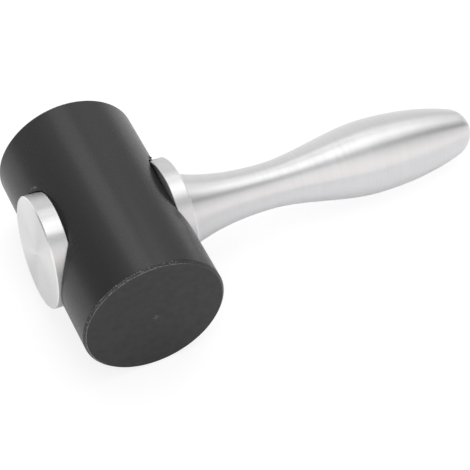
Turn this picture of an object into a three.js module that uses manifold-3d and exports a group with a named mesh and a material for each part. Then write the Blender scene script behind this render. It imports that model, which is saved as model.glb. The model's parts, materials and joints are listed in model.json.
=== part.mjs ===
// A nylon mallet. A turned black nylon head is clamped between two aluminium discs, which sit in round
// flat-bottomed seats on opposite sides of it. A steel tie stud runs through the head: it screws into the
// blind hub of the front cap and, past the rear collar, into the neck of a turned aluminium handle.
//
// Millimetres, +Z up. The tool lies on its side, as on a bench: the head and the belly of the handle touch
// the plane Z = 0, the head's axis is along Y and the handle points along +X, dipping to the bench.
// The origin is the bottom centre of the box around the whole tool.

import * as THREE from "three";
import { mergeVertices } from "three/addons/utils/BufferGeometryUtils.js";
import Module from "manifold-3d";

const { degToRad } = THREE.MathUtils;

// Nylon head: a plain cylinder with a chamfer round each striking face and a seat on each side.
const headDiameter = 50;
const headLength = 80;
const headChamfer = 0.8;
const seatDepth = 5.9; // from the crown of the head down to the seat's flat floor

// Front cap and rear collar: two discs of one diameter, each with a hub that enters the head's cross bore.
const discDiameter = 39.2;
const capThickness = 6.6;
const collarThickness = 5.7;
const discChamfer = 0.4;
const discSeatChamfer = 0.2;
const hubWall = 4;
const hubChamfer = 0.8;

// Tie stud: two threaded ends and a thinner shank between them. The threads are drawn as plain cylinders.
const studDiameter = 10;
const shankRelief = 0.6; // how far the shank lies below the threads
const studChamfer = 1;
const studInCap = 8;
const studInHandle = 22;
const tapRunOut = 1.2; // tapped depth left beyond each end of the stud
const drillPointAngle = degToRad(118);

// Handle: its diameter where it leaves the collar, at its waist, at its belly and where the ball end starts,
// with the length of each stretch between them.
const neckDiameter = 27.2;
const neckLength = 32.8;
const waistDiameter = 16.4;
const swellLength = 41.7;
const bellyDiameter = 27;
const taperLength = 33.7;
const tailDiameter = 17;
const neckAngle = degToRad(21.3); // slope of the outline to the axis where the neck leaves the collar
const tailAngle = degToRad(18.4); // the same where the taper meets the ball end
const neckChamfer = 0.5;

// Register: a short spigot on the handle, centred in a recess in the collar.
const registerWall = 4.5;
const registerDepth = 1.6;

// Gap kept between pieces that seat on, or slide into, each other.
const clearance = 0.3;

// How finely round pieces are faceted.
const headFacets = 96;
const discFacets = 80;
const handleFacets = 60;
const studFacets = 32;
const curveSteps = 8;

// Sizes that follow from the ones above. A station is a distance from the head's axis along the handle.
const headRadius = headDiameter / 2;
const discRadius = discDiameter / 2;
const studRadius = studDiameter / 2;
const studHoleRadius = studRadius + clearance;
const hubRadius = studHoleRadius + hubWall;
const hubLength = studInCap + tapRunOut;
const boreRadius = hubRadius + clearance;
const seatRadius = discRadius + clearance;
const seatStation = headRadius - seatDepth;
const discStation = seatStation + clearance;
const hubEndStation = discStation - hubLength;
const neckStation = discStation + collarThickness + clearance;
const recessRadius = studHoleRadius + registerWall;

const finishes = {
  nylon: new THREE.MeshStandardMaterial({ color: 0x2e2e2f, roughness: 0.55, metalness: 0 }),
  aluminium: new THREE.MeshStandardMaterial({ color: 0xd2d3d6, roughness: 0.32, metalness: 1 }),
  steel: new THREE.MeshStandardMaterial({ color: 0x9a9b9d, roughness: 0.4, metalness: 1 }),
};

const wasm = await Module();
wasm.setup();

// A closed geometry as a solid that can be cut.
function solidOf(geometry) {
  const bare = geometry.clone();
  bare.deleteAttribute("normal");
  bare.deleteAttribute("uv");
  const merged = mergeVertices(bare, 1e-4);
  const mesh = new wasm.Mesh({
    numProp: 3,
    vertProperties: merged.attributes.position.array,
    triVerts: Uint32Array.from(merged.index.array),
  });
  return new wasm.Manifold(mesh);
}

// A solid as a geometry with one normal for each facet.
function geometryOf(solid) {
  const { vertProperties, triVerts } = solid.getMesh();
  const geometry = new THREE.BufferGeometry();
  geometry.setAttribute("position", new THREE.BufferAttribute(vertProperties, 3));
  geometry.setIndex(new THREE.BufferAttribute(triVerts, 1));
  const faceted = geometry.toNonIndexed();
  faceted.computeVertexNormals();
  return faceted;
}

// A profile of [radius, height] corners, turned about the Y axis.
function turned(corners, facets) {
  const points = corners.map(([radius, height]) => new THREE.Vector2(radius, height));
  return new THREE.LatheGeometry(points, facets);
}

function namedMesh(name, geometry, material) {
  const mesh = new THREE.Mesh(geometry, material);
  mesh.name = name;
  return mesh;
}

// A cylinder across the head, along X, between two stations.
function crossCutter(radius, from, to) {
  const cutter = new THREE.CylinderGeometry(radius, radius, to - from, discFacets);
  cutter.rotateZ(Math.PI / 2);
  cutter.translate((from + to) / 2, 0, 0);
  return solidOf(cutter);
}

// The head: a chamfered cylinder along Y, less the cross bore and the two round seats for the discs.
function nylonHead() {
  const halfLength = headLength / 2;
  const blank = turned(
    [
      [0, -halfLength],
      [headRadius - headChamfer, -halfLength],
      [headRadius, headChamfer - halfLength],
      [headRadius, halfLength - headChamfer],
      [headRadius - headChamfer, halfLength],
      [0, halfLength],
    ],
    headFacets,
  );
  const pastHead = headRadius + clearance;
  const head = solidOf(blank)
    .subtract(crossCutter(boreRadius, -pastHead, pastHead))
    .subtract(crossCutter(seatRadius, -pastHead, -seatStation))
    .subtract(crossCutter(seatRadius, seatStation, pastHead));
  return namedMesh("nylon_head", geometryOf(head), finishes.nylon);
}

// A disc's outside, from the end of its hub round to the edge of its outer face. Height 0 is its seat.
function discOutside(thickness) {
  return [
    [hubRadius - hubChamfer, -hubLength],
    [hubRadius, hubChamfer - hubLength],
    [hubRadius, 0],
    [discRadius - discSeatChamfer, 0],
    [discRadius, discSeatChamfer],
    [discRadius, thickness - discChamfer],
    [discRadius - discChamfer, thickness],
  ];
}

// The front cap: its face is whole, because the stud screws into its hub from behind.
function frontCap() {
  const profile = [
    [0, 0],
    [studHoleRadius, 0],
    [studHoleRadius, -hubLength],
    ...discOutside(capThickness),
    [0, capThickness],
  ];
  const cap = namedMesh("front_cap", turned(profile, discFacets), finishes.aluminium);
  cap.position.y = -discStation;
  cap.rotation.z = Math.PI;
  return cap;
}

// The rear collar: a ring that the stud passes through, recessed for the handle's register.
function rearCollar() {
  const recessFloor = collarThickness - registerDepth;
  const profile = [
    [studHoleRadius, -hubLength],
    ...discOutside(collarThickness),
    [recessRadius, collarThickness],
    [recessRadius, recessFloor],
    [studHoleRadius, recessFloor],
    [studHoleRadius, -hubLength],
  ];
  const collar = namedMesh("rear_collar", turned(profile, discFacets), finishes.aluminium);
  collar.position.y = discStation;
  return collar;
}

// The tie stud, from its end in the front cap to its end in the handle. Its shank starts where it leaves
// the cap's hub and stops where it enters the handle.
function tieStud() {
  const shankRadius = studRadius - shankRelief;
  const shankFront = -hubEndStation;
  const shankBack = neckStation;
  const frontEnd = shankFront - studInCap;
  const backEnd = shankBack + studInHandle;
  const profile = [
    [0, frontEnd],
    [studRadius - studChamfer, frontEnd],
    [studRadius, frontEnd + studChamfer],
    [studRadius, shankFront],
    [shankRadius, shankFront + shankRelief],
    [shankRadius, shankBack - shankRelief],
    [studRadius, shankBack],
    [studRadius, backEnd - studChamfer],
    [studRadius - studChamfer, backEnd],
    [0, backEnd],
  ];
  return namedMesh("tie_stud", turned(profile, studFacets), finishes.steel);
}

// Adds to a path the cubic that runs on by a length to a new radius, with a given slope at each end.
function sweepOn(path, length, radius, startSlope, endSlope) {
  const { x, y } = path.currentPoint;
  const reach = length / 3;
  path.bezierCurveTo(
    x + startSlope * reach,
    y + reach,
    radius - endSlope * reach,
    y + length - reach,
    radius,
    y + length,
  );
}

// The outside of the handle as [radius, distance from the neck's end face]: a neck that flares to the
// collar, a slim waist, a belly for the palm, a tapering tail, and a ball end tangent to the tail.
function handleOutside() {
  const tailRadius = tailDiameter / 2;
  const path = new THREE.Path();
  path.moveTo(neckDiameter / 2 - neckChamfer, 0);
  path.lineTo(neckDiameter / 2, neckChamfer);
  sweepOn(path, neckLength - neckChamfer, waistDiameter / 2, -Math.tan(neckAngle), 0);
  sweepOn(path, swellLength, bellyDiameter / 2, 0, 0);
  sweepOn(path, taperLength, tailRadius, 0, -Math.tan(tailAngle));
  const ballRadius = tailRadius / Math.cos(tailAngle);
  const ballCentre = path.currentPoint.y - tailRadius * Math.tan(tailAngle);
  path.absarc(0, ballCentre, ballRadius, tailAngle, Math.PI / 2, false);
  return path.getPoints(curveSteps).map(({ x, y }) => [x, y]);
}

// The handle, drilled and tapped through its register for the stud.
function handle() {
  const holeDepth = studInHandle + tapRunOut;
  const drillPoint = studHoleRadius / Math.tan(drillPointAngle / 2);
  const registerRadius = recessRadius - clearance;
  const outside = handleOutside();
  const [, ballTip] = outside.pop();
  const profile = [
    [0, holeDepth + drillPoint],
    [studHoleRadius, holeDepth],
    [studHoleRadius, -registerDepth],
    [registerRadius, -registerDepth],
    [registerRadius, 0],
    ...outside,
    [0, ballTip],
  ];
  const mesh = namedMesh("handle", turned(profile, handleFacets), finishes.aluminium);
  mesh.position.y = neckStation;
  return mesh;
}

// The dip of the handle at which it first touches the bench that the head lies on.
function restAngle() {
  const dips = handleOutside().map(([radius, distance]) => {
    const station = neckStation + distance;
    return Math.asin(headRadius / Math.hypot(station, radius)) - Math.atan2(radius, station);
  });
  return Math.min(...dips);
}

// Pieces turned about the handle's axis, which runs along the spindle's own Y.
const spindle = new THREE.Group();
spindle.rotation.z = -Math.PI / 2;
spindle.add(frontCap(), rearCollar(), tieStud(), handle());

const tool = new THREE.Group();
tool.add(nylonHead(), spindle);
tool.rotation.y = restAngle();

const mallet = new THREE.Group();
mallet.add(tool);

// The tool is set down with the bottom centre of its box at the origin.
const box = new THREE.Box3().setFromObject(mallet, true);
const centre = box.getCenter(new THREE.Vector3());
tool.position.set(-centre.x, -centre.y, -box.min.z);

export default mallet;
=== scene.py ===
"""The looks of a nylon mallet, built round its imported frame.

A black nylon head is clamped between two aluminium discs on a turned aluminium handle. Each piece that
shows is worked out here as a fine surface in the tool's own axes, and takes its place from the frame.

Sizes are in millimetres and angles in radians, and points become metres where a mesh is made. The tool's
own axes are X along the handle and away from the head, Y along the head, and Z up from the handle. They
start at the head's centre, and a station is a distance from there along X.
"""

from __future__ import annotations

import json
import logging
import math
from dataclasses import dataclass, field
from enum import IntEnum
from typing import Any, Iterable, Sequence

import bmesh
import bpy
import numpy as np
from mathutils import Matrix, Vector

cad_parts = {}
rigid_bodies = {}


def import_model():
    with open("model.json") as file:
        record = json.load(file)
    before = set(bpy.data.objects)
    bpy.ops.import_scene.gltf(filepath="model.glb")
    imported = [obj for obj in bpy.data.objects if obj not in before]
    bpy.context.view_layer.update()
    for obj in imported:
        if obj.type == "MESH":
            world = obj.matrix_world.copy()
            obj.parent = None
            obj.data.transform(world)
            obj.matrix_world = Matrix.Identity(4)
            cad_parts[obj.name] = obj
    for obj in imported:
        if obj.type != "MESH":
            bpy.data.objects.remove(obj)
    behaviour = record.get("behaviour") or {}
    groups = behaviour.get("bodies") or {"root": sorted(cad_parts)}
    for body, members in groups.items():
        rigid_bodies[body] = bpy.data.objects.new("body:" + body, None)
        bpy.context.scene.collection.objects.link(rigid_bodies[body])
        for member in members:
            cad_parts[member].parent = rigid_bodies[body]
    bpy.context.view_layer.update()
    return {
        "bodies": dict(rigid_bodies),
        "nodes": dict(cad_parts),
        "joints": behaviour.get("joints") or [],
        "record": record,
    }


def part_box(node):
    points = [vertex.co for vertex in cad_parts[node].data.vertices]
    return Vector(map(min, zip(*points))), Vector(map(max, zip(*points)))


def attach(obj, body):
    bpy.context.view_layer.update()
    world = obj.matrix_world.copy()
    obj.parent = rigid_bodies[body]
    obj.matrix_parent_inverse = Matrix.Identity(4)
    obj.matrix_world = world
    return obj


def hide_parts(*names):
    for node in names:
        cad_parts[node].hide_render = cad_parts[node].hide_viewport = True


log = logging.getLogger("nylon_mallet")

MM = 0.001
TURN = 2 * math.pi
ROOT = "root"

# The UV map and the point values that the materials read.
LAY_MAP = "lay"
TURNING = "turning"
# How pale the nylon is: its frayed edges, flecks and pip, and round one arc of each end's rim a painted
# highlight as well
RAW_EDGE_AND_HIGHLIGHT = "raw_edge_and_highlight"
FACED = "faced"

# Weights of a face and of a bevel in how faced a turned outline is. Where the faced colour is paler, the
# bevel's larger share is a painted highlight along it and the face's share a painted brightening of its
# reflection.
FACE_PART = 0.5
BEVEL_HIGHLIGHT_PART = 0.75


class Side(IntEnum):
    """The two opposite sides of the head, by the sign of their stations."""

    FRONT = -1
    REAR = 1


class End(IntEnum):
    """The two striking ends of the head, by the sign of Y."""

    NEAR = -1
    FAR = 1


class Cut(IntEnum):
    """How a stretch of a piece was cut, which is also the number of the material that it wears."""

    TURNED = 0
    FACED = 1


def linear(hex_colour: str) -> tuple[float, float, float, float]:
    """Turns a colour from sRGB to the linear values that shaders take.

    By the sRGB standard, dark values are divided by a constant and the rest follow a power curve.

    Args:
        hex_colour: six hexadecimal digits after a number sign.

    Returns:
        Linear red, green and blue, and an alpha of one.
    """
    coded = np.array([int(hex_colour[at : at + 2], 16) for at in (1, 3, 5)]) / 255
    straight = np.where(coded <= 0.04045, coded / 12.92, ((coded + 0.055) / 1.055) ** 2.4)
    return (*(float(part) for part in straight), 1.0)


def add_node(
    tree: bpy.types.NodeTree, kind: str, inputs: dict[str | int, Any] | None = None, **settings: Any
) -> bpy.types.Node:
    """Adds a node to a tree, with its settings, its values and its links.

    Args:
        tree: the tree that gets the node.
        kind: the node's type name.
        inputs: by socket name or number, a value to set or an output socket to link.
        **settings: properties of the node itself.

    Returns:
        The new node.
    """
    node = tree.nodes.new(kind)
    for name, value in settings.items():
        setattr(node, name, value)
    for socket, value in (inputs or {}).items():
        if isinstance(value, bpy.types.NodeSocket):
            tree.links.new(value, node.inputs[socket])
        else:
            node.inputs[socket].default_value = value
    return node


def bare_material(name: str) -> bpy.types.Material:
    """Makes a material whose node tree is empty.

    Args:
        name: name of the material.

    Returns:
        The new material.
    """
    made = bpy.data.materials.new(name)
    made.use_nodes = True
    made.node_tree.nodes.clear()
    return made


@dataclass(frozen=True)
class ToolPlace:
    """Where the tool lies in the frame, and how its own axes are turned there.

    Attributes:
        centre: the head's centre in the frame, in metres.
        axes: the tool's own X, Y and Z in the frame, one to a row.
    """

    centre: np.ndarray
    axes: np.ndarray

    @classmethod
    def from_frame(cls, frame: dict[str, Any]) -> ToolPlace:
        """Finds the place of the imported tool.


        Returns:
            The place whose origin is the middle of the head's box and whose X runs against the normal of
            the front cap's face.
        """
        low, high = (np.array(corner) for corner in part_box("nylon_head"))
        mounts = {mount["name"]: mount for mount in frame["record"]["mounts"]}
        along = -np.array(mounts["cap_face"]["axis"], float)
        along /= np.linalg.norm(along)
        across = np.array(mounts["striking_face_back"]["axis"], float)
        return cls((low + high) / 2, np.stack([along, across, np.cross(along, across)]))

    def to_frame(self, points: np.ndarray) -> np.ndarray:
        """Turns points from the tool's axes, in millimetres, to the frame's, in metres."""
        return self.centre + MM * points @ self.axes


@dataclass
class Patch:
    """A grid of points on one stretch of a surface, in the tool's axes.

    Attributes:
        points: rows by columns by three, in millimetres.
        lay: rows by columns by two, the way along and round the surface, or none.
        values: point values by name, rows by columns, with a third axis where they are vectors.
        cut: how it was cut, which picks one of the piece's materials.
    """

    points: np.ndarray
    lay: np.ndarray | None = None
    values: dict[str, np.ndarray] = field(default_factory=dict)
    cut: Cut = Cut.TURNED

    def quads(self) -> np.ndarray:
        """Numbers the corners of the grid's faces.

        Returns:
            Four point numbers to a row, for the faces by rows and then columns.
        """
        rows, columns = self.points.shape[:2]
        number = np.arange(rows * columns).reshape(rows, columns)
        corners = (number[:-1, :-1], number[:-1, 1:], number[1:, 1:], number[1:, :-1])
        return np.stack(corners, axis=-1).reshape(-1, 4)


@dataclass
class Surface:
    """Patches that meet edge to edge and make one closed piece.

    Attributes:
        name: name of the piece.
        patches: its patches.
        crease: edges that turn by more than this stay sharp.
        weld: points closer than this, in metres, become one.
    """

    name: str
    patches: Sequence[Patch]
    crease: float = math.radians(40)
    weld: float = 1e-6

    def piece(
        self, place: ToolPlace, node: str, slot: str, *materials: bpy.types.Material
    ) -> bpy.types.Object:
        """Makes the piece, sets it in the frame and lets it stand for a node.

        Args:
            place: where the tool lies.
            node: the node that the piece stands for.
            slot: the record's slot for its finish, which is not used.
            *materials: what its patches wear, in the order of their cuts.

        Returns:
            The piece, at the origin, with its place in its mesh.
        """
        mesh = self.mesh(place)
        for material in materials:
            mesh.materials.append(material)
        piece = bpy.data.objects.new(self.name, mesh)
        bpy.context.scene.collection.objects.link(piece)
        flats = piece.modifiers.new("flat_faces_stay_flat", "WEIGHTED_NORMAL")
        flats.keep_sharp = True
        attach(piece, ROOT)
        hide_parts(node)
        log.info("%s: %d faces", self.name, len(mesh.polygons))
        return piece

    def mesh(self, place: ToolPlace) -> bpy.types.Mesh:
        """Joins the patches: their shared edges are welded and all faces turned outwards.

        Args:
            place: where the tool lies.

        Returns:
            One closed mesh, in the frame.
        """
        sizes = [patch.points.shape[0] * patch.points.shape[1] for patch in self.patches]
        firsts = np.cumsum([0, *sizes[:-1]])
        points = np.concatenate([patch.points.reshape(-1, 3) for patch in self.patches])
        quads = np.concatenate([patch.quads() + first for patch, first in zip(self.patches, firsts)])
        cuts = np.concatenate([np.full(len(patch.quads()), patch.cut) for patch in self.patches])
        mesh = bpy.data.meshes.new(self.name)
        mesh.from_pydata(place.to_frame(points), [], quads)
        mesh.polygons.foreach_set("material_index", cuts)
        self.store_values(mesh)
        self.store_lay(mesh, quads)
        made = bmesh.new()
        made.from_mesh(mesh)
        bmesh.ops.remove_doubles(made, verts=made.verts, dist=self.weld)
        bmesh.ops.recalc_face_normals(made, faces=made.faces)
        made.to_mesh(mesh)
        made.free()
        mesh.polygons.foreach_set("use_smooth", np.ones(len(mesh.polygons), bool))
        mesh.set_sharp_from_angle(angle=self.crease)
        mesh.update()
        return mesh

    def store_values(self, mesh: bpy.types.Mesh) -> None:
        """Puts the patches' point values into the mesh as attributes.

        Args:
            mesh: the mesh of all the patches' points, in their order.
        """
        for name, sample in self.patches[0].values.items():
            width = sample.shape[2] if sample.ndim == 3 else 1
            values = np.concatenate([patch.values[name].reshape(-1, width) for patch in self.patches])
            kind, slot = ("FLOAT_VECTOR", "vector") if width == 3 else ("FLOAT", "value")
            stored = mesh.attributes.new(name, kind, "POINT")
            stored.data.foreach_set(slot, values.astype(np.float32).ravel())

    def store_lay(self, mesh: bpy.types.Mesh, quads: np.ndarray) -> None:
        """Puts the way along and round the surface into a UV map, which the grain of the metal follows.

        Args:
            mesh: the mesh of all the patches' points, in their order.
            quads: the point numbers of its faces' corners.
        """
        if self.patches[0].lay is None:
            return
        lay = np.concatenate([patch.lay.reshape(-1, 2) for patch in self.patches])
        corners = lay[quads.ravel()].astype(np.float32)
        mesh.uv_layers.new(name=LAY_MAP).uv.foreach_set("vector", corners.ravel())


def rounded(corners: Iterable[tuple[float, float]], radius: float, steps: int = 5) -> np.ndarray:
    """Rounds the inner corners of an outline.

    Each corner P becomes the parabola from A to B that has P as its control point, so a point on it is
    (1-t)(1-t) A + 2t(1-t) P + t t B. A and B lie on the two runs, at the radius or a third of the run.

    Args:
        corners: the outline's corners, of which the first and last stay as they are.
        radius: how far from a corner its rounding starts.
        steps: points on each rounding.

    Returns:
        The outline's points.
    """
    corner = np.array(list(corners), float)
    run = np.diff(corner, axis=0)
    length = np.linalg.norm(run, axis=1, keepdims=True)
    cut = run / length * np.minimum(radius, length / 3)
    start, middle, end = corner[1:-1] - cut[:-1], corner[1:-1], corner[1:-1] + cut[1:]
    t = np.linspace(0, 1, steps)[:, None, None]
    arcs = (1 - t) ** 2 * start + 2 * t * (1 - t) * middle + t**2 * end
    return np.concatenate([corner[:1], arcs.transpose(1, 0, 2).reshape(-1, 2), corner[-1:]])


def cubic(
    start: np.ndarray, length: float, radius: float, slopes: tuple[float, float], steps: int
) -> np.ndarray:
    """Carries an outline on along a cubic whose slope is given at both ends.

    With t from 0 to 1 along the length, the radius is the sum of both end radii and slopes, each weighted
    by its Hermite polynomial.

    Args:
        start: radius and station where it starts.
        length: how far it runs along the axis.
        radius: the radius that it reaches.
        slopes: change of radius with station at its two ends.
        steps: points on it, not counting the first.

    Returns:
        Its points after the first, as radius and station.
    """
    t = np.linspace(0, 1, steps + 1)[1:]
    rise = 3 * t**2 - 2 * t**3
    lean_in = (t - 2 * t**2 + t**3) * length * slopes[0]
    lean_out = (t**3 - t**2) * length * slopes[1]
    radii = start[0] + (radius - start[0]) * rise + lean_in + lean_out
    return np.stack([radii, start[1] + length * t], axis=1)


def turned(
    outline: np.ndarray, facets: int, side: Side = Side.REAR, cut: Cut = Cut.TURNED
) -> Patch:
    """Turns an outline about the handle's axis.

    A point is (station, r sin a, r cos a), for each radius r of the outline and angle a round the axis. How
    faced it is comes from the outline's slope to the axis: the squared sine of the slope and the squared
    sine of twice the slope, weighted so that a turned side gets 0, a face a half and a bevel 1. Where the
    faced colour is paler, the bevel's full share is a painted highlight along it and the face's half a
    painted brightening of its reflection.

    Args:
        outline: radius and station of its points.
        facets: faces in a whole turn.
        side: the side of the head towards which its stations count.
        cut: how it was cut.

    Returns:
        One patch, closed on itself, with the lay of its turning marks and how faced it is.
    """
    radius, station = outline[:, :1], side * outline[:, 1:]
    angle = np.linspace(0, TURN, facets + 1)[None, :]
    round_y, round_z = np.sin(angle), np.cos(angle)
    along = station + 0 * angle
    points = np.stack([along, radius * round_y, radius * round_z], axis=-1)
    steps = np.linalg.norm(np.diff(outline, axis=0), axis=1)
    way = np.concatenate([[0], np.cumsum(steps)])[:, None] + 0 * angle
    lay = np.stack([way / way.max(), angle / TURN + 0 * way], axis=-1)
    marks = np.stack([way, round_y + 0 * way, round_z + 0 * way], axis=-1)
    run = np.gradient(outline, axis=0)
    slope = np.arctan2(run[:, :1], run[:, 1:])
    faced = FACE_PART * np.sin(slope) ** 2 + BEVEL_HIGHLIGHT_PART * np.sin(2 * slope) ** 2 + 0 * angle
    return Patch(points, lay, {TURNING: marks, FACED: faced}, cut)


@dataclass(frozen=True)
class TurnedNylon:
    """Black cast nylon, turned and left as it came off the tool.

    The eye gets a dull charcoal that pales towards grazing angles, a faint mottle where the tool tore
    rather than cut, and a whitish frayed line wherever an edge was not cleaned. Round one arc of each
    end's rim that pale line and the chamfer beside it are also a painted highlight.
    """

    name: str
    colour: str = "#1D1D1E"
    mottle_colour: str = "#242425"
    frayed_and_highlight_colour: str = "#8A8A88"
    ior: float = 1.53
    roughness: float = 0.29
    roughness_spread: float = 0.07
    gloss: float = 0.46
    mottle_size: float = 1.6
    grain_size: float = 0.55
    grain_height: float = 0.02
    grain_strength: float = 0.35

    # A pale edge, partly frayed nylon and partly a painted highlight: the size of its flecks, what the
    # palest edge adds to their noise, and the sums at which they start to show and are full. Clean nylon
    # stays under that range.
    fray_size: float = 0.4
    fray_gain: float = 0.45
    fray_range: tuple[float, float] = (0.77, 0.97)

    def material(self) -> bpy.types.Material:
        """Builds the nylon's material.

        Returns:
            The material, which reads from the mesh how pale an edge is.
        """
        made = bare_material(self.name)
        tree = made.node_tree
        place = add_node(tree, "ShaderNodeTexCoord").outputs["Object"]
        mottle = add_node(
            tree,
            "ShaderNodeTexNoise",
            {"Vector": place, "Scale": 1 / (self.mottle_size * MM), "Detail": 4.0, "Roughness": 0.6},
        )
        body = add_node(
            tree,
            "ShaderNodeMix",
            {0: mottle.outputs["Fac"], 6: linear(self.colour), 7: linear(self.mottle_colour)},
            data_type="RGBA",
        )
        fray = add_node(
            tree,
            "ShaderNodeTexNoise",
            {"Vector": place, "Scale": 1 / (self.fray_size * MM), "Detail": 2.0},
        )
        pale_share = add_node(tree, "ShaderNodeAttribute", attribute_name=RAW_EDGE_AND_HIGHLIGHT)
        torn = add_node(
            tree,
            "ShaderNodeMath",
            {0: pale_share.outputs["Fac"], 1: self.fray_gain, 2: fray.outputs["Fac"]},
            operation="MULTIPLY_ADD",
        )
        starts, full = self.fray_range
        pale = add_node(
            tree,
            "ShaderNodeMapRange",
            {"Value": torn.outputs["Value"], "From Min": starts, "From Max": full},
        )
        # The pale colour shows frayed edges and flecks, and round one arc of each end's rim it is a painted
        # highlight
        colour = add_node(
            tree,
            "ShaderNodeMix",
            {0: pale.outputs["Result"], 6: body.outputs[2], 7: linear(self.frayed_and_highlight_colour)},
            data_type="RGBA",
        )
        grain = add_node(
            tree,
            "ShaderNodeTexNoise",
            {"Vector": place, "Scale": 1 / (self.grain_size * MM), "Detail": 3.0},
        )
        dullness = add_node(
            tree,
            "ShaderNodeMapRange",
            {
                "Value": grain.outputs["Fac"],
                "To Min": self.roughness - self.roughness_spread,
                "To Max": self.roughness + self.roughness_spread,
            },
        )
        bump = add_node(
            tree,
            "ShaderNodeBump",
            {
                "Height": grain.outputs["Fac"],
                "Strength": self.grain_strength,
                "Distance": self.grain_height * MM,
            },
        )
        shader = add_node(
            tree,
            "ShaderNodeBsdfPrincipled",
            {
                "Base Color": colour.outputs[2],
                "Roughness": dullness.outputs["Result"],
                "Normal": bump.outputs["Normal"],
                "IOR": self.ior,
                "Specular IOR Level": self.gloss,
            },
        )
        add_node(tree, "ShaderNodeOutputMaterial", {"Surface": shader.outputs["BSDF"]})
        return made


@dataclass(frozen=True)
class TurnedAluminium:
    """Bare aluminium, turned on a lathe and satin polished while it spun.

    The eye gets a pale grey metal whose fine marks run round the piece. They spread a reflection along the
    piece and leave it sharp round it, so that a turned handle shows clear bands from end to end. Faces and
    bevels, where the tool cut across the axis, take the faced colour, bevels most. Where that colour is
    paler, it is a painted highlight along the bevels and a painted brightening of the faces' reflection.
    """

    name: str
    colour: str = "#E9E9EA"
    streak_colour: str = "#DDDDDE"
    streak_share: float = 0.35
    faced_and_highlight_colour: str = "#E9E9EA"
    roughness: float = 0.36
    roughness_spread: float = 0.04
    anisotropy: float = 1.0

    # The marks: how far apart they are, how much they change on their way round, the part of the noise's
    # range that they fill, how high they stand and how much of that height shows.
    mark_spacing: float = 0.4
    mark_wander: float = 0.7
    mark_range: tuple[float, float] = (0.3, 0.7)
    mark_height: float = 0.004
    mark_strength: float = 0.3

    def material(self) -> bpy.types.Material:
        """Builds the metal's material.

        Returns:
            The material, which reads the lay of its marks and how faced the metal is from the mesh.
        """
        made = bare_material(self.name)
        tree = made.node_tree
        turning = add_node(tree, "ShaderNodeAttribute", attribute_name=TURNING)
        # Real feed marks are about 0.1 mm apart, too fine for the render, so they are drawn coarser.
        spread = add_node(
            tree,
            "ShaderNodeMapping",
            {
                "Vector": turning.outputs["Vector"],
                "Scale": (1 / self.mark_spacing, self.mark_wander, self.mark_wander),
            },
        )
        marks = add_node(
            tree,
            "ShaderNodeTexNoise",
            {"Vector": spread.outputs["Vector"], "Scale": 1.0, "Detail": 3.0, "Roughness": 0.7},
        )
        faint, strong = self.mark_range
        share = add_node(
            tree,
            "ShaderNodeMapRange",
            {
                "Value": marks.outputs["Fac"],
                "From Min": faint,
                "From Max": strong,
                "To Max": self.streak_share,
            },
        )
        colour = add_node(
            tree,
            "ShaderNodeMix",
            {0: share.outputs["Result"], 6: linear(self.colour), 7: linear(self.streak_colour)},
            data_type="RGBA",
        )
        faced = add_node(tree, "ShaderNodeAttribute", attribute_name=FACED)
        # Where the faced colour is paler this is painted light: a highlight along bevels, a brighter
        # reflection on faces
        shown = add_node(
            tree,
            "ShaderNodeMix",
            {0: faced.outputs["Fac"], 6: colour.outputs[2], 7: linear(self.faced_and_highlight_colour)},
            data_type="RGBA",
        )
        dullness = add_node(
            tree,
            "ShaderNodeMapRange",
            {
                "Value": marks.outputs["Fac"],
                "From Min": faint,
                "From Max": strong,
                "To Min": self.roughness - self.roughness_spread,
                "To Max": self.roughness + self.roughness_spread,
            },
        )
        bump = add_node(
            tree,
            "ShaderNodeBump",
            {
                "Height": marks.outputs["Fac"],
                "Strength": self.mark_strength,
                "Distance": self.mark_height * MM,
            },
        )
        along = add_node(tree, "ShaderNodeTangent", direction_type="UV_MAP", uv_map=LAY_MAP)
        shader = add_node(
            tree,
            "ShaderNodeBsdfPrincipled",
            {
                "Base Color": shown.outputs[2],
                "Metallic": 1.0,
                "Roughness": dullness.outputs["Result"],
                "Anisotropic": self.anisotropy,
                "Normal": bump.outputs["Normal"],
                "Tangent": along.outputs["Tangent"],
            },
        )
        add_node(tree, "ShaderNodeOutputMaterial", {"Surface": shader.outputs["BSDF"]})
        return made


@dataclass(frozen=True)
class DrawnSteel:
    """Plain drawn steel bar, oiled and hidden in the tool: a mid grey with faint cloudy staining."""

    name: str = "drawn_steel"
    colour: str = "#BABBBD"
    stain_colour: str = "#8E8C89"
    roughness: float = 0.4
    stain_size: float = 6.0

    def material(self) -> bpy.types.Material:
        """Builds the steel's material.

        Returns:
            The material.
        """
        made = bare_material(self.name)
        tree = made.node_tree
        place = add_node(tree, "ShaderNodeTexCoord").outputs["Object"]
        stain = add_node(
            tree,
            "ShaderNodeTexNoise",
            {"Vector": place, "Scale": 1 / (self.stain_size * MM), "Detail": 5.0},
        )
        colour = add_node(
            tree,
            "ShaderNodeMix",
            {0: stain.outputs["Fac"], 6: linear(self.colour), 7: linear(self.stain_colour)},
            data_type="RGBA",
        )
        shader = add_node(
            tree,
            "ShaderNodeBsdfPrincipled",
            {"Base Color": colour.outputs[2], "Metallic": 1.0, "Roughness": self.roughness},
        )
        add_node(tree, "ShaderNodeOutputMaterial", {"Surface": shader.outputs["BSDF"]})
        return made


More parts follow.
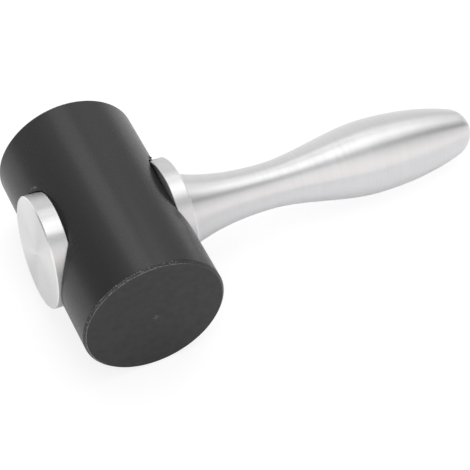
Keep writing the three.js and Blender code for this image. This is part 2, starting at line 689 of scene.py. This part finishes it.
@dataclass
class NylonHead:
    """The nylon cylinder, with a seat on each side, the bore between them and a chamfer at each end."""

    diameter: float = 50.0
    length: float = 80.0
    chamfer: float = 0.8
    seat_depth: float = 5.9
    seat_diameter: float = 39.8
    bore_diameter: float = 19.2
    edge_break: float = 0.2
    barrel_margin: float = 0.4

    # The burr round part of each end's rim, and how pale the chamfer is beside it. Round that arc the pale
    # burr and chamfer are frayed nylon and also a painted highlight along the edge.
    burr_height: float = 0.07
    burr_width: float = 0.25
    burr_and_highlight_middle: float = math.radians(150)
    burr_and_highlight_reach: float = math.radians(124)
    burr_and_highlight_fade: float = math.radians(50)
    chamfer_fray_and_highlight: float = 0.48

    # The nub on the rear seat's far edge, and the flecks along a stretch of the front seat's.
    nub_height: float = 0.8
    nub_angle: float = math.radians(48.5)
    nub_reach: float = math.radians(2.2)
    fleck_span: tuple[float, float] = (math.radians(44.5), math.radians(53))
    fleck_raw: float = 0.75

    # The pip in the middle of each face.
    pip_radius: float = 1.2
    pip_height: float = 0.2
    pip_raw: float = 0.55

    # How finely the grids are divided.
    long_steps: int = 48
    round_steps: int = 96
    barrel_rows: int = 24
    face_rings: int = 12
    pip_rings: int = 6

    @property
    def radius(self) -> float:
        """Radius of the cylinder."""
        return self.diameter / 2

    @property
    def seat_station(self) -> float:
        """Station of a seat's flat floor."""
        return self.radius - self.seat_depth

    @property
    def floor_reach(self) -> float:
        """How far above or below the axis a seat's floor runs out through the side of the cylinder."""
        return math.sqrt(self.radius**2 - self.seat_station**2)

    @property
    def barrel_end(self) -> float:
        """Distance along Y from the middle of the head to where its end outline starts."""
        return self.length / 2 - self.chamfer - self.barrel_margin

    def seat_angles(self) -> tuple[np.ndarray, np.ndarray]:
        """Angles round a seat, from straight up, in four stretches that end at its four corners.

        Returns:
            The angles, and the angles of the corners alone.
        """
        corner = math.acos(self.floor_reach / (self.seat_diameter / 2))
        knots = np.array([-corner, corner, math.pi - corner, math.pi + corner, TURN - corner])
        counts = (self.long_steps, self.round_steps, self.long_steps, self.round_steps)
        spans = [np.linspace(a, b, n, endpoint=False) for a, b, n in zip(knots, knots[1:], counts)]
        return np.concatenate([*spans, knots[-1:]]), knots

    def seat_edge(self, angle: np.ndarray, wider: float) -> tuple[np.ndarray, np.ndarray]:
        """The edge of a seat, seen along the handle: a circle cut off where the floor runs out.

        Args:
            angle: angles round it.
            wider: how much wider than the seat it is on every side.

        Returns:
            Its Y and Z.
        """
        circle = self.seat_diameter / 2 + wider
        reach = self.floor_reach + wider
        return circle * np.sin(angle), np.clip(circle * np.cos(angle), -reach, reach)

    def nub(self, angle: np.ndarray, side: Side) -> np.ndarray:
        """Height of the nub that the cutter left on the rear seat, a cosine hump.

        Args:
            angle: angles round the seat.
            side: which seat it is.

        Returns:
            The height at each angle, which is nothing on the front seat.
        """
        if side is Side.FRONT:
            return np.zeros_like(angle)
        near = np.clip(np.abs(angle - self.nub_angle) / self.nub_reach, 0, 1)
        return self.nub_height * (1 + np.cos(math.pi * near)) / 2

    def barrel(self, side: Side) -> Patch:
        """Half of the cylinder's side, from the edge of the seat out to the half's own borders.

        Unrolled, the half is a rectangle of Y by the angle up from the handle. Each row moves evenly from
        the seat's edge to the rectangle's border, corner to corner. The nub lifts the first row, and the
        second is flecked where the front seat's edge was torn.

        Args:
            side: which half it is.

        Returns:
            The patch.
        """
        angle, knots = self.seat_angles()
        edge_y, edge_z = self.seat_edge(angle, self.edge_break)
        reach = self.barrel_end
        quarter = math.pi / 2
        border_y = np.interp(angle, knots, [-reach, reach, reach, -reach, -reach])
        border_lift = np.interp(angle, knots, [quarter, quarter, -quarter, -quarter, quarter])
        t = np.linspace(0, 1, self.barrel_rows)[:, None]
        y = (1 - t) * edge_y + t * border_y
        lift = (1 - t) * np.arcsin(edge_z / self.radius) + t * border_lift
        radius = np.full_like(y, self.radius)
        radius[0] += self.nub(angle, side)
        pale_share = np.zeros_like(y)
        if side is Side.FRONT:
            pale_share[1] = self.fleck_raw * ((angle > self.fleck_span[0]) & (angle < self.fleck_span[1]))
        return self.patch(np.stack([side * radius * np.cos(lift), y, radius * np.sin(lift)], axis=-1), pale_share)

    def seat(self, side: Side) -> Patch:
        """A seat: its broken edge, its wall down to the floor, and the floor in to the bore.

        The wall stands on the seat's edge and rises to the cylinder, so its top is at the square root of
        the radius squared less Z squared, but never below the floor.

        Args:
            side: which side of the head it is on.

        Returns:
            The patch.
        """
        angle, _ = self.seat_angles()
        outer_y, outer_z = self.seat_edge(angle, self.edge_break)
        lifted = 1 + self.nub(angle, side) / self.radius
        outer_x, outer_z = lifted * np.sqrt(self.radius**2 - outer_z**2), lifted * outer_z
        wall_y, wall_z = self.seat_edge(angle, 0)
        wall_z = np.clip(wall_z, self.edge_break - self.floor_reach, self.floor_reach - self.edge_break)
        wall_top = np.sqrt(self.radius**2 - wall_z**2) - self.edge_break
        floor = np.full_like(angle, self.seat_station)
        bore = self.bore_diameter / 2
        rings = [
            (outer_x, outer_y, outer_z),
            (np.maximum(wall_top, floor), wall_y, wall_z),
            (floor, wall_y, wall_z),
            (floor, bore * np.sin(angle), bore * np.cos(angle)),
        ]
        points = np.stack([np.stack(ring, axis=-1) for ring in rings])
        points[..., 0] *= side
        return self.patch(points)

    def bore(self) -> Patch:
        """The bore between the two seats, a cylinder: a point is (station, r sin a, r cos a).

        Returns:
            The patch, whose angles are those of the seats.
        """
        angle, _ = self.seat_angles()
        radius = self.bore_diameter / 2
        stations = np.array([self.seat_station, -self.seat_station])[:, None]
        y, z = radius * np.sin(angle), radius * np.cos(angle)
        return self.patch(np.stack([stations + 0 * y, y + 0 * stations, z + 0 * stations], axis=-1))

    def rim_outline(self) -> np.ndarray:
        """An end's rim: from the cylinder's side over the chamfer, up to the burr and onto the face.

        Returns:
            Radius and Y of its points.
        """
        face = self.length / 2
        rim = self.radius - self.chamfer
        shoulder = rounded(
            [
                (self.radius, self.barrel_end),
                (self.radius, face - self.chamfer),
                (rim + self.burr_width / 3, face - self.burr_width / 3),
            ],
            radius=self.chamfer / 3,
        )
        return np.concatenate([shoulder, [(rim, face), (rim - self.burr_width, face)]])

    def face_outline(self) -> np.ndarray:
        """An end's face: from its rim to the pip that the facing tool left in the middle.

        The pip is a parabola: its height falls with the square of the radius.

        Returns:
            Radius and Y of its points.
        """
        face = self.length / 2
        rim = self.radius - self.chamfer - self.burr_width
        rings = np.linspace(rim, 2 * self.pip_radius, self.face_rings)
        flat = np.stack([rings, np.full_like(rings, face)], axis=1)
        radii = self.pip_radius * np.linspace(1, 0, self.pip_rings)
        rise = self.pip_height * (1 - (radii / self.pip_radius) ** 2)
        return np.concatenate([flat, np.stack([radii, face + rise], axis=1)])

    def burr(self, lift: np.ndarray, side: Side) -> np.ndarray:
        """How much of the burr stands round the rim: all of it round its middle, none far from there.

        Args:
            lift: angles up from the handle.
            side: which half of the rim it is.

        Returns:
            A share for each angle, which falls evenly to nothing at the burr's reach. It also sets how much
            of the painted highlight on the rim's edge shows.
        """
        angle = np.arctan2(np.sin(lift), side * np.cos(lift))
        away = np.abs((angle - self.burr_and_highlight_middle + math.pi) % TURN - math.pi)
        return np.clip((self.burr_and_highlight_reach - away) / self.burr_and_highlight_fade, 0, 1)

    def end(self, side: Side, end: End) -> list[Patch]:
        """Half of an end, on one side of the head: its rim with the burr, and its face.

        Both are outlines turned about Y through a half turn, so a point is (r cos a, Y, r sin a). The burr
        lifts the rim's last edge but one, which is fully pale: frayed nylon, and a painted highlight along
        the edge, as is the pale chamfer beside it.

        Args:
            side: which half it is.
            end: which end of the head it is.

        Returns:
            The rim's patch and the face's.
        """
        lift = np.linspace(math.pi / 2, -math.pi / 2, self.round_steps + 1)[None, :]
        rim, face = self.rim_outline(), self.face_outline()
        # Round the burr's arc the chamfer and the burr's edge are painted pale: frayed nylon, and a painted
        # highlight along the rim
        pale_share = np.where(rim[:, 1:] > self.length / 2 - self.chamfer, self.chamfer_fray_and_highlight, 0.0)
        pale_share[-2:] = [[1.0], [0.0]]
        pale_share = pale_share * self.burr(lift, side)
        pip = (face[:, 1:] > self.length / 2) * self.pip_raw + 0 * lift
        patches = []
        for outline, stretch_pale_share, cut in ((rim, pale_share, Cut.TURNED), (face, pip, Cut.FACED)):
            radius, reach = outline[:, :1], outline[:, 1:] + 0 * lift
            if cut is Cut.TURNED:
                reach[-2] += self.burr_height * pale_share[-2]
            points = np.stack([side * radius * np.cos(lift), end * reach, radius * np.sin(lift)], axis=-1)
            patches.append(Patch(points, values={RAW_EDGE_AND_HIGHLIGHT: stretch_pale_share}, cut=cut))
        return patches

    def patch(self, points: np.ndarray, pale_share: np.ndarray | None = None) -> Patch:
        """A patch of nylon, clean unless it is given how pale its points are."""
        clean = np.zeros(points.shape[:2])
        return Patch(points, values={RAW_EDGE_AND_HIGHLIGHT: clean if pale_share is None else pale_share})

    def build(self, place: ToolPlace) -> bpy.types.Object:
        """Makes the head and dresses it in nylon, turned on its side and faced at its ends.

        Args:
            place: where the tool lies.

        Returns:
            The head.
        """
        patches = [self.bore()]
        for side in Side:
            patches += [self.barrel(side), self.seat(side)]
            for end in End:
                patches += self.end(side, end)
        surface = Surface("turned_nylon_head", patches)
        side_finish = TurnedNylon("turned_black_nylon").material()
        end_finish = TurnedNylon(
            "faced_black_nylon",
            colour="#0C0C0D",
            mottle_colour="#313132",
            mottle_size=2.4,
            gloss=0.33,
            roughness=0.34,
        ).material()
        return surface.piece(place, "nylon_head", "black_nylon", side_finish, end_finish)


@dataclass
class ClampDiscs:
    """The two aluminium discs that clamp the head: the blind front cap and the rear collar."""

    diameter: float = 39.2
    cap_thickness: float = 6.6
    collar_thickness: float = 5.7
    bevel: float = 0.4
    seat_bevel: float = 0.2
    seat_station: float = 19.4
    hub_diameter: float = 18.6
    hub_length: float = 9.2
    hub_chamfer: float = 0.8
    hole_diameter: float = 10.6
    recess_diameter: float = 19.6
    recess_depth: float = 1.6
    edge_break: float = 0.06
    facets: int = 192

    def outside(self, thickness: float) -> list[tuple[float, float]]:
        """Corners of a disc, from the end of its hub to the edge of its outer face.

        Args:
            thickness: thickness of the disc.

        Returns:
            Radius and height above its seat, for each corner.
        """
        hub, disc = self.hub_diameter / 2, self.diameter / 2
        return [
            (hub - self.hub_chamfer, -self.hub_length),
            (hub, self.hub_chamfer - self.hub_length),
            (hub, 0),
            (disc - self.seat_bevel, 0),
            (disc, self.seat_bevel),
            (disc, thickness - self.bevel),
            (disc - self.bevel, thickness),
        ]

    def cap_outline(self) -> list[tuple[float, float]]:
        """Corners of the front cap, from the end of its blind hole round to the middle of its face.

        Returns:
            Radius and height above its seat, for each corner.
        """
        hole = self.hole_diameter / 2
        inside = [(0, 0), (hole, 0), (hole, -self.hub_length)]
        return [*inside, *self.outside(self.cap_thickness), (0, self.cap_thickness)]

    def collar_outline(self) -> list[tuple[float, float]]:
        """Corners of the rear collar, from inside its hole all round and back to there.

        Returns:
            Radius and height above its seat, for each corner.
        """
        hole, recess = self.hole_diameter / 2, self.recess_diameter / 2
        floor = self.collar_thickness - self.recess_depth
        start = (hole, -self.hub_length / 2)
        back = [(recess, self.collar_thickness), (recess, floor), (hole, floor)]
        return [start, (hole, -self.hub_length), *self.outside(self.collar_thickness), *back, start]

    def build(self, place: ToolPlace) -> None:
        """Makes both discs. Their rims are turned and all the rest is faced.

        Args:
            place: where the tool lies.
        """
        turned_metal = TurnedAluminium("turned_aluminium").material()
        # The pale faced colour paints a highlight along the discs' bevels and paints their faces'
        # reflection a little brighter than the rims'
        faced_metal = TurnedAluminium(
            "faced_aluminium", colour="#DEDEDF", faced_and_highlight_colour="#FAFAFA", anisotropy=0.88
        ).material()
        discs = {
            "front_cap": (Side.FRONT, self.cap_outline()),
            "rear_collar": (Side.REAR, self.collar_outline()),
        }
        for node, (side, corners) in discs.items():
            outline = rounded(corners, self.edge_break) + np.array([0, self.seat_station])
            # The rim is the stretch of the outline between its first and last point at the full radius.
            low, high = np.flatnonzero(np.isclose(outline[:, 0], self.diameter / 2))[[0, -1]]
            patches = [
                turned(outline[: low + 1], self.facets, side, Cut.FACED),
                turned(outline[low : high + 1], self.facets, side, Cut.TURNED),
                turned(outline[high:], self.facets, side, Cut.FACED),
            ]
            surface = Surface(f"faced_{node}", patches)
            surface.piece(place, node, "disc_aluminium", turned_metal, faced_metal)


@dataclass
class Handle:
    """The turned handle: a flared neck, a slim waist, a belly for the palm, a tail and a ball end."""

    neck_station: float = 25.4
    neck_diameter: float = 27.2
    neck_length: float = 32.8
    neck_angle: float = math.radians(21.3)
    neck_chamfer: float = 0.5
    waist_diameter: float = 16.4
    swell_length: float = 41.7
    belly_diameter: float = 27.0
    taper_length: float = 33.7
    tail_diameter: float = 17.0
    tail_angle: float = math.radians(18.4)
    hole_diameter: float = 10.6
    hole_depth: float = 23.2
    drill_point_angle: float = math.radians(118)
    register_diameter: float = 19.0
    register_depth: float = 1.6
    edge_break: float = 0.12
    curve_steps: int = 40
    facets: int = 160

    def neck_end(self) -> np.ndarray:
        """Outline of the hidden hole, the register, and the end of the neck up to its flare.

        Returns:
            Radius and distance from the neck's end, for each point.
        """
        hole, neck = self.hole_diameter / 2, self.neck_diameter / 2
        register = self.register_diameter / 2
        drill_point = hole / math.tan(self.drill_point_angle / 2)
        corners = [
            (0, self.hole_depth + drill_point),
            (hole, self.hole_depth),
            (hole, -self.register_depth),
            (register, -self.register_depth),
            (register, 0),
            (neck - self.neck_chamfer, 0),
            (neck, self.neck_chamfer),
        ]
        return rounded(corners, self.edge_break)

    def outline(self) -> np.ndarray:
        """The whole outline, from the end of the hole round to the tip of the ball.

        The ball is an arc tangent to the tail: its radius is the tail's over the cosine of the tail's
        slope, and its centre lies inside the tail by the tail's radius times the tangent.

        Returns:
            Radius and distance from the neck's end, for each point.
        """
        stretches = [self.neck_end()]
        bends = [
            (self.neck_length - self.neck_chamfer, self.waist_diameter, -math.tan(self.neck_angle), 0.0),
            (self.swell_length, self.belly_diameter, 0.0, 0.0),
            (self.taper_length, self.tail_diameter, 0.0, -math.tan(self.tail_angle)),
        ]
        for length, diameter, start_slope, end_slope in bends:
            slopes = (start_slope, end_slope)
            stretches.append(cubic(stretches[-1][-1], length, diameter / 2, slopes, self.curve_steps))
        tail, station = stretches[-1][-1]
        ball = tail / math.cos(self.tail_angle)
        angle = np.linspace(self.tail_angle, math.pi / 2, self.curve_steps)[1:]
        centre = station - tail * math.tan(self.tail_angle)
        stretches.append(np.stack([ball * np.cos(angle), centre + ball * np.sin(angle)], axis=1))
        return np.concatenate(stretches)

    def build(self, place: ToolPlace) -> bpy.types.Object:
        """Makes the handle and dresses it in satin aluminium.

        Args:
            place: where the tool lies.

        Returns:
            The handle.
        """
        outline = self.outline() + np.array([0, self.neck_station])
        surface = Surface("turned_handle", [turned(outline, self.facets)])
        metal = TurnedAluminium("satin_turned_aluminium", streak_share=0.28).material()
        return surface.piece(place, "handle", "handle_aluminium", metal)


@dataclass
class TieStud:
    """The steel stud that holds the tool together. It never shows, so it keeps the frame's own shape."""

    node: str = "tie_stud"

    def build(self, frame: dict[str, Any]) -> bpy.types.Object:
        """Dresses the stud in drawn steel.


        Returns:
            The stud.
        """
        stud = frame["nodes"][self.node]
        stud.data.materials.clear()
        stud.data.materials.append(DrawnSteel().material())
        log.info("%s: %d faces, from the frame", self.node, len(stud.data.polygons))
        return stud


@dataclass(frozen=True)
class PhotoCamera:
    """The camera at the photograph's viewing angle.

    It looks along a line given by its azimuth and elevation, past the head's centre by the two aims, from
    the given distance, and is rolled about that line. With an azimuth of zero it looks along Y. Its clip
    distances are in metres.
    """

    azimuth: float = math.radians(-22.011)
    elevation: float = math.radians(50.325)
    roll: float = math.radians(-3.372)
    distance: float = 639.34
    aim_right: float = 42.68
    aim_up: float = -1.03
    focal_pixels: float = 1886.4
    picture_pixels: int = 470
    sensor: float = 36.0
    clip: tuple[float, float] = (0.05, 50.0)

    def build(self, place: ToolPlace) -> None:
        """Makes the camera and gives it to the scene.

        Args:
            place: where the tool lies.
        """
        flat = math.cos(self.elevation)
        back = np.array(
            [
                math.sin(self.azimuth) * flat,
                -math.cos(self.azimuth) * flat,
                math.sin(self.elevation),
            ]
        )
        level = np.cross([0, 0, 1], back)
        level /= np.linalg.norm(level)
        rise = np.cross(back, level)
        right = math.cos(self.roll) * level + math.sin(self.roll) * rise
        up = math.cos(self.roll) * rise - math.sin(self.roll) * level
        at = place.centre + MM * (self.aim_right * right + self.aim_up * up + self.distance * back)
        data = bpy.data.cameras.new("photo_camera")
        data.sensor_width = self.sensor
        data.lens = self.focal_pixels / self.picture_pixels * self.sensor
        data.clip_start, data.clip_end = self.clip
        camera = bpy.data.objects.new("photo_camera", data)
        camera.matrix_world = Matrix(np.column_stack([right, up, back, at]).tolist()).to_4x4()
        bpy.context.scene.collection.objects.link(camera)
        bpy.context.scene.camera = camera


@dataclass(frozen=True)
class Flag:
    """A dark card that dims the tent round one direction.

    Attributes:
        way: the direction, as seen from the tool, about one unit long.
        edges: cosines of the angles from it at which the shade starts and is full.
        strength: the share of the tent's light that is left where the shade is full.
    """

    way: tuple[float, float, float]
    edges: tuple[float, float]
    strength: float


@dataclass(frozen=True)
class Softbox:
    """A flat softbox that hangs over the tool and faces straight down.

    Attributes:
        name: name of the lamp.
        size: its sides along X and Y before it is turned, in metres.
        middle: its middle, in metres.
        turn: how far it is turned about the vertical.
        glow: what it adds to the tent's strength where a reflection shows it.
    """

    name: str
    size: tuple[float, float]
    middle: tuple[float, float, float]
    turn: float
    glow: float

    def build(self) -> None:
        """Makes the lamp. A flat lamp's power is its glow times pi times its area."""
        data = bpy.data.lights.new(self.name, "AREA")
        data.shape = "RECTANGLE"
        data.size, data.size_y = self.size
        data.energy = self.glow * math.pi * data.size * data.size_y
        lamp = bpy.data.objects.new(self.name, data)
        lamp.location = self.middle
        lamp.rotation_euler.z = self.turn
        lamp.visible_camera = False
        bpy.context.scene.collection.objects.link(lamp)


@dataclass(frozen=True)
class Studio:
    """Plain soft studio light: a pale tent round the tool, two softboxes over it and a white table.

    Attributes:
        tent: strength of the tent by the angle, in degrees, from the horizon behind the tool up over it
            and down to the horizon in front.
        white: colour of most of the tent.
        pink: colour of the band in front, where the tent is lit through a screen.
        pink_band: the angles, in degrees, that this band lies between.
        flags: dark cards that dim the tent.
        softboxes: the softboxes over the tool.
        table_size: side of the table, in metres.
        table_colour: colour of the table.
        table_glow: how bright the table is by itself where it is seen.
        table_share: how much of the light that falls on it the table adds to that.
        table_mirrored: how far the table looks like that in a reflection too.
    """

    tent: tuple[tuple[float, float], ...] = (
        (0, 0.89),
        (25, 0.89),
        (40, 0.87),
        (51, 0.61),
        (62, 0.56),
        (70, 0.58),
        (99, 0.57),
        (104, 0.43),
        (109, 0.43),
        (117, 0.82),
        (128, 1.14),
        (150, 1.2),
        (166, 1.15),
        (180, 1.12),
    )
    white: str = "#FFFFFF"
    pink: str = "#FFFAF9"
    pink_band: tuple[float, float] = (130, 170)
    flags: tuple[Flag, ...] = (
        Flag((-0.85, 0.3, 0.43), (0.9, 0.98), 0.2),
        Flag((-0.64, 0.46, 0.61), (0.92, 0.985), 0.46),
        Flag((0.95, 0.2, 0.24), (0.93, 0.985), 0.3),
        Flag((0.74, -0.33, 0.58), (0.84, 0.97), 0.55),
        Flag((-0.8, 0.59, 0.05), (0.92, 0.985), 0.6),
        Flag((0.8, 0.59, 0.08), (0.92, 0.985), 0.72),
    )
    softboxes: tuple[Softbox, ...] = (
        Softbox("softbox_above", (1.43, 0.73), (0.358, 0.174, 1.0), math.radians(37), 1.32),
        Softbox("softbox_behind", (0.5, 0.42), (0.05, 0.74, 1.0), 0.0, 1.3),
    )
    table_size: float = 12.0
    table_colour: str = "#FCFCFD"
    table_glow: float = 0.79
    table_share: float = 0.3
    table_mirrored: float = 0.05

    def build(self) -> None:
        """Makes the tent, the softboxes and the table."""
        self.build_tent()
        for softbox in self.softboxes:
            softbox.build()
        self.build_table()
        bpy.context.scene.view_settings.view_transform = "Standard"

    def tint(self, degrees: float) -> str:
        """Colour of the tent at an angle: a little pink in front, where it is lit through a screen."""
        return self.pink if self.pink_band[0] < degrees < self.pink_band[1] else self.white

    def build_tent(self) -> None:
        """Makes the tent as the world: bands of light that run along X, dimmed by the flags.

        A band is chosen by the angle of a direction's Z over its Y. Each flag multiplies the strength by a
        share that falls evenly, from one to the flag's own, as the cosine of the angle from the flag rises
        from its first edge to its second.
        """
        world = bpy.data.worlds.new("light_tent")
        bpy.context.scene.world = world
        world.use_nodes = True
        tree = world.node_tree
        tree.nodes.clear()
        looking = add_node(tree, "ShaderNodeTexCoord").outputs["Generated"]
        way = add_node(tree, "ShaderNodeSeparateXYZ", {0: looking})
        angle = add_node(
            tree, "ShaderNodeMath", {0: way.outputs["Z"], 1: way.outputs["Y"]}, operation="ARCTAN2"
        )
        share = add_node(
            tree,
            "ShaderNodeMapRange",
            {"Value": angle.outputs["Value"], "From Max": math.pi},
        )
        bands = add_node(tree, "ShaderNodeValToRGB", {"Fac": share.outputs["Result"]})
        stops = bands.color_ramp.elements
        # A ramp starts with two stops. New ones go half way and take their places below.
        for _ in self.tent[2:]:
            stops.new(0.5)
        peak = max(strength for _, strength in self.tent)
        for stop, (degrees, strength) in zip(stops, self.tent):
            stop.position = degrees / 180
            stop.color = tuple(strength / peak * part for part in linear(self.tint(degrees))[:3]) + (1,)
        strength: float | bpy.types.NodeSocket = peak
        for flag in self.flags:
            facing = add_node(
                tree, "ShaderNodeVectorMath", {0: looking, 1: flag.way}, operation="DOT_PRODUCT"
            )
            shade = add_node(
                tree,
                "ShaderNodeMapRange",
                {
                    "Value": facing.outputs["Value"],
                    "From Min": flag.edges[0],
                    "From Max": flag.edges[1],
                    "To Min": 1.0,
                    "To Max": flag.strength,
                },
            )
            dimmed = add_node(
                tree, "ShaderNodeMath", {0: strength, 1: shade.outputs["Result"]}, operation="MULTIPLY"
            )
            strength = dimmed.outputs["Value"]
        glow = add_node(
            tree,
            "ShaderNodeBackground",
            {"Color": bands.outputs["Color"], "Strength": strength},
        )
        add_node(tree, "ShaderNodeOutputWorld", {"Surface": glow.outputs["Background"]})

    def build_table(self) -> None:
        """Makes the table, a white square.

        Where it is seen it glows, with the tool's own soft shadow on it. In reflections, and for the light
        that it throws back, it is mostly plain white paint.
        """
        reach = self.table_size / 2
        corners = [(-reach, -reach, 0), (reach, -reach, 0), (reach, reach, 0), (-reach, reach, 0)]
        mesh = bpy.data.meshes.new("table")
        mesh.from_pydata(corners, [], [(0, 1, 2, 3)])
        table = bpy.data.objects.new("table", mesh)
        bpy.context.scene.collection.objects.link(table)
        made = bare_material("white_table")
        mesh.materials.append(made)
        tree = made.node_tree
        ray = add_node(tree, "ShaderNodeLightPath")
        seen = add_node(
            tree,
            "ShaderNodeMath",
            {0: ray.outputs["Is Glossy Ray"], 1: self.table_mirrored, 2: ray.outputs["Is Camera Ray"]},
            operation="MULTIPLY_ADD",
        )
        shown = add_node(
            tree,
            "ShaderNodeMath",
            {0: seen.outputs["Value"], 1: ray.outputs["Is Transmission Ray"]},
            operation="ADD",
            use_clamp=True,
        )
        white = linear(self.table_colour)
        lit = add_node(tree, "ShaderNodeBsdfDiffuse", {"Color": white})
        faint = add_node(
            tree, "ShaderNodeBsdfDiffuse", {"Color": (*(part * self.table_share for part in white[:3]), 1)}
        )
        glow = add_node(tree, "ShaderNodeEmission", {"Strength": self.table_glow})
        bright = add_node(
            tree, "ShaderNodeAddShader", {0: faint.outputs["BSDF"], 1: glow.outputs["Emission"]}
        )
        both = add_node(
            tree,
            "ShaderNodeMixShader",
            {0: shown.outputs["Value"], 1: lit.outputs["BSDF"], 2: bright.outputs["Shader"]},
        )
        add_node(tree, "ShaderNodeOutputMaterial", {"Surface": both.outputs["Shader"]})


def main() -> None:
    """Builds the scene: the frame, the camera, the light and then each piece of the tool."""
    logging.basicConfig(level=logging.INFO, format="%(name)s: %(message)s")
    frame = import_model()
    place = ToolPlace.from_frame(frame)
    PhotoCamera().build(place)
    Studio().build()
    NylonHead().build(place)
    ClampDiscs().build(place)
    Handle().build(place)
    TieStud().build(frame)


if __name__ == "__main__":
    main()
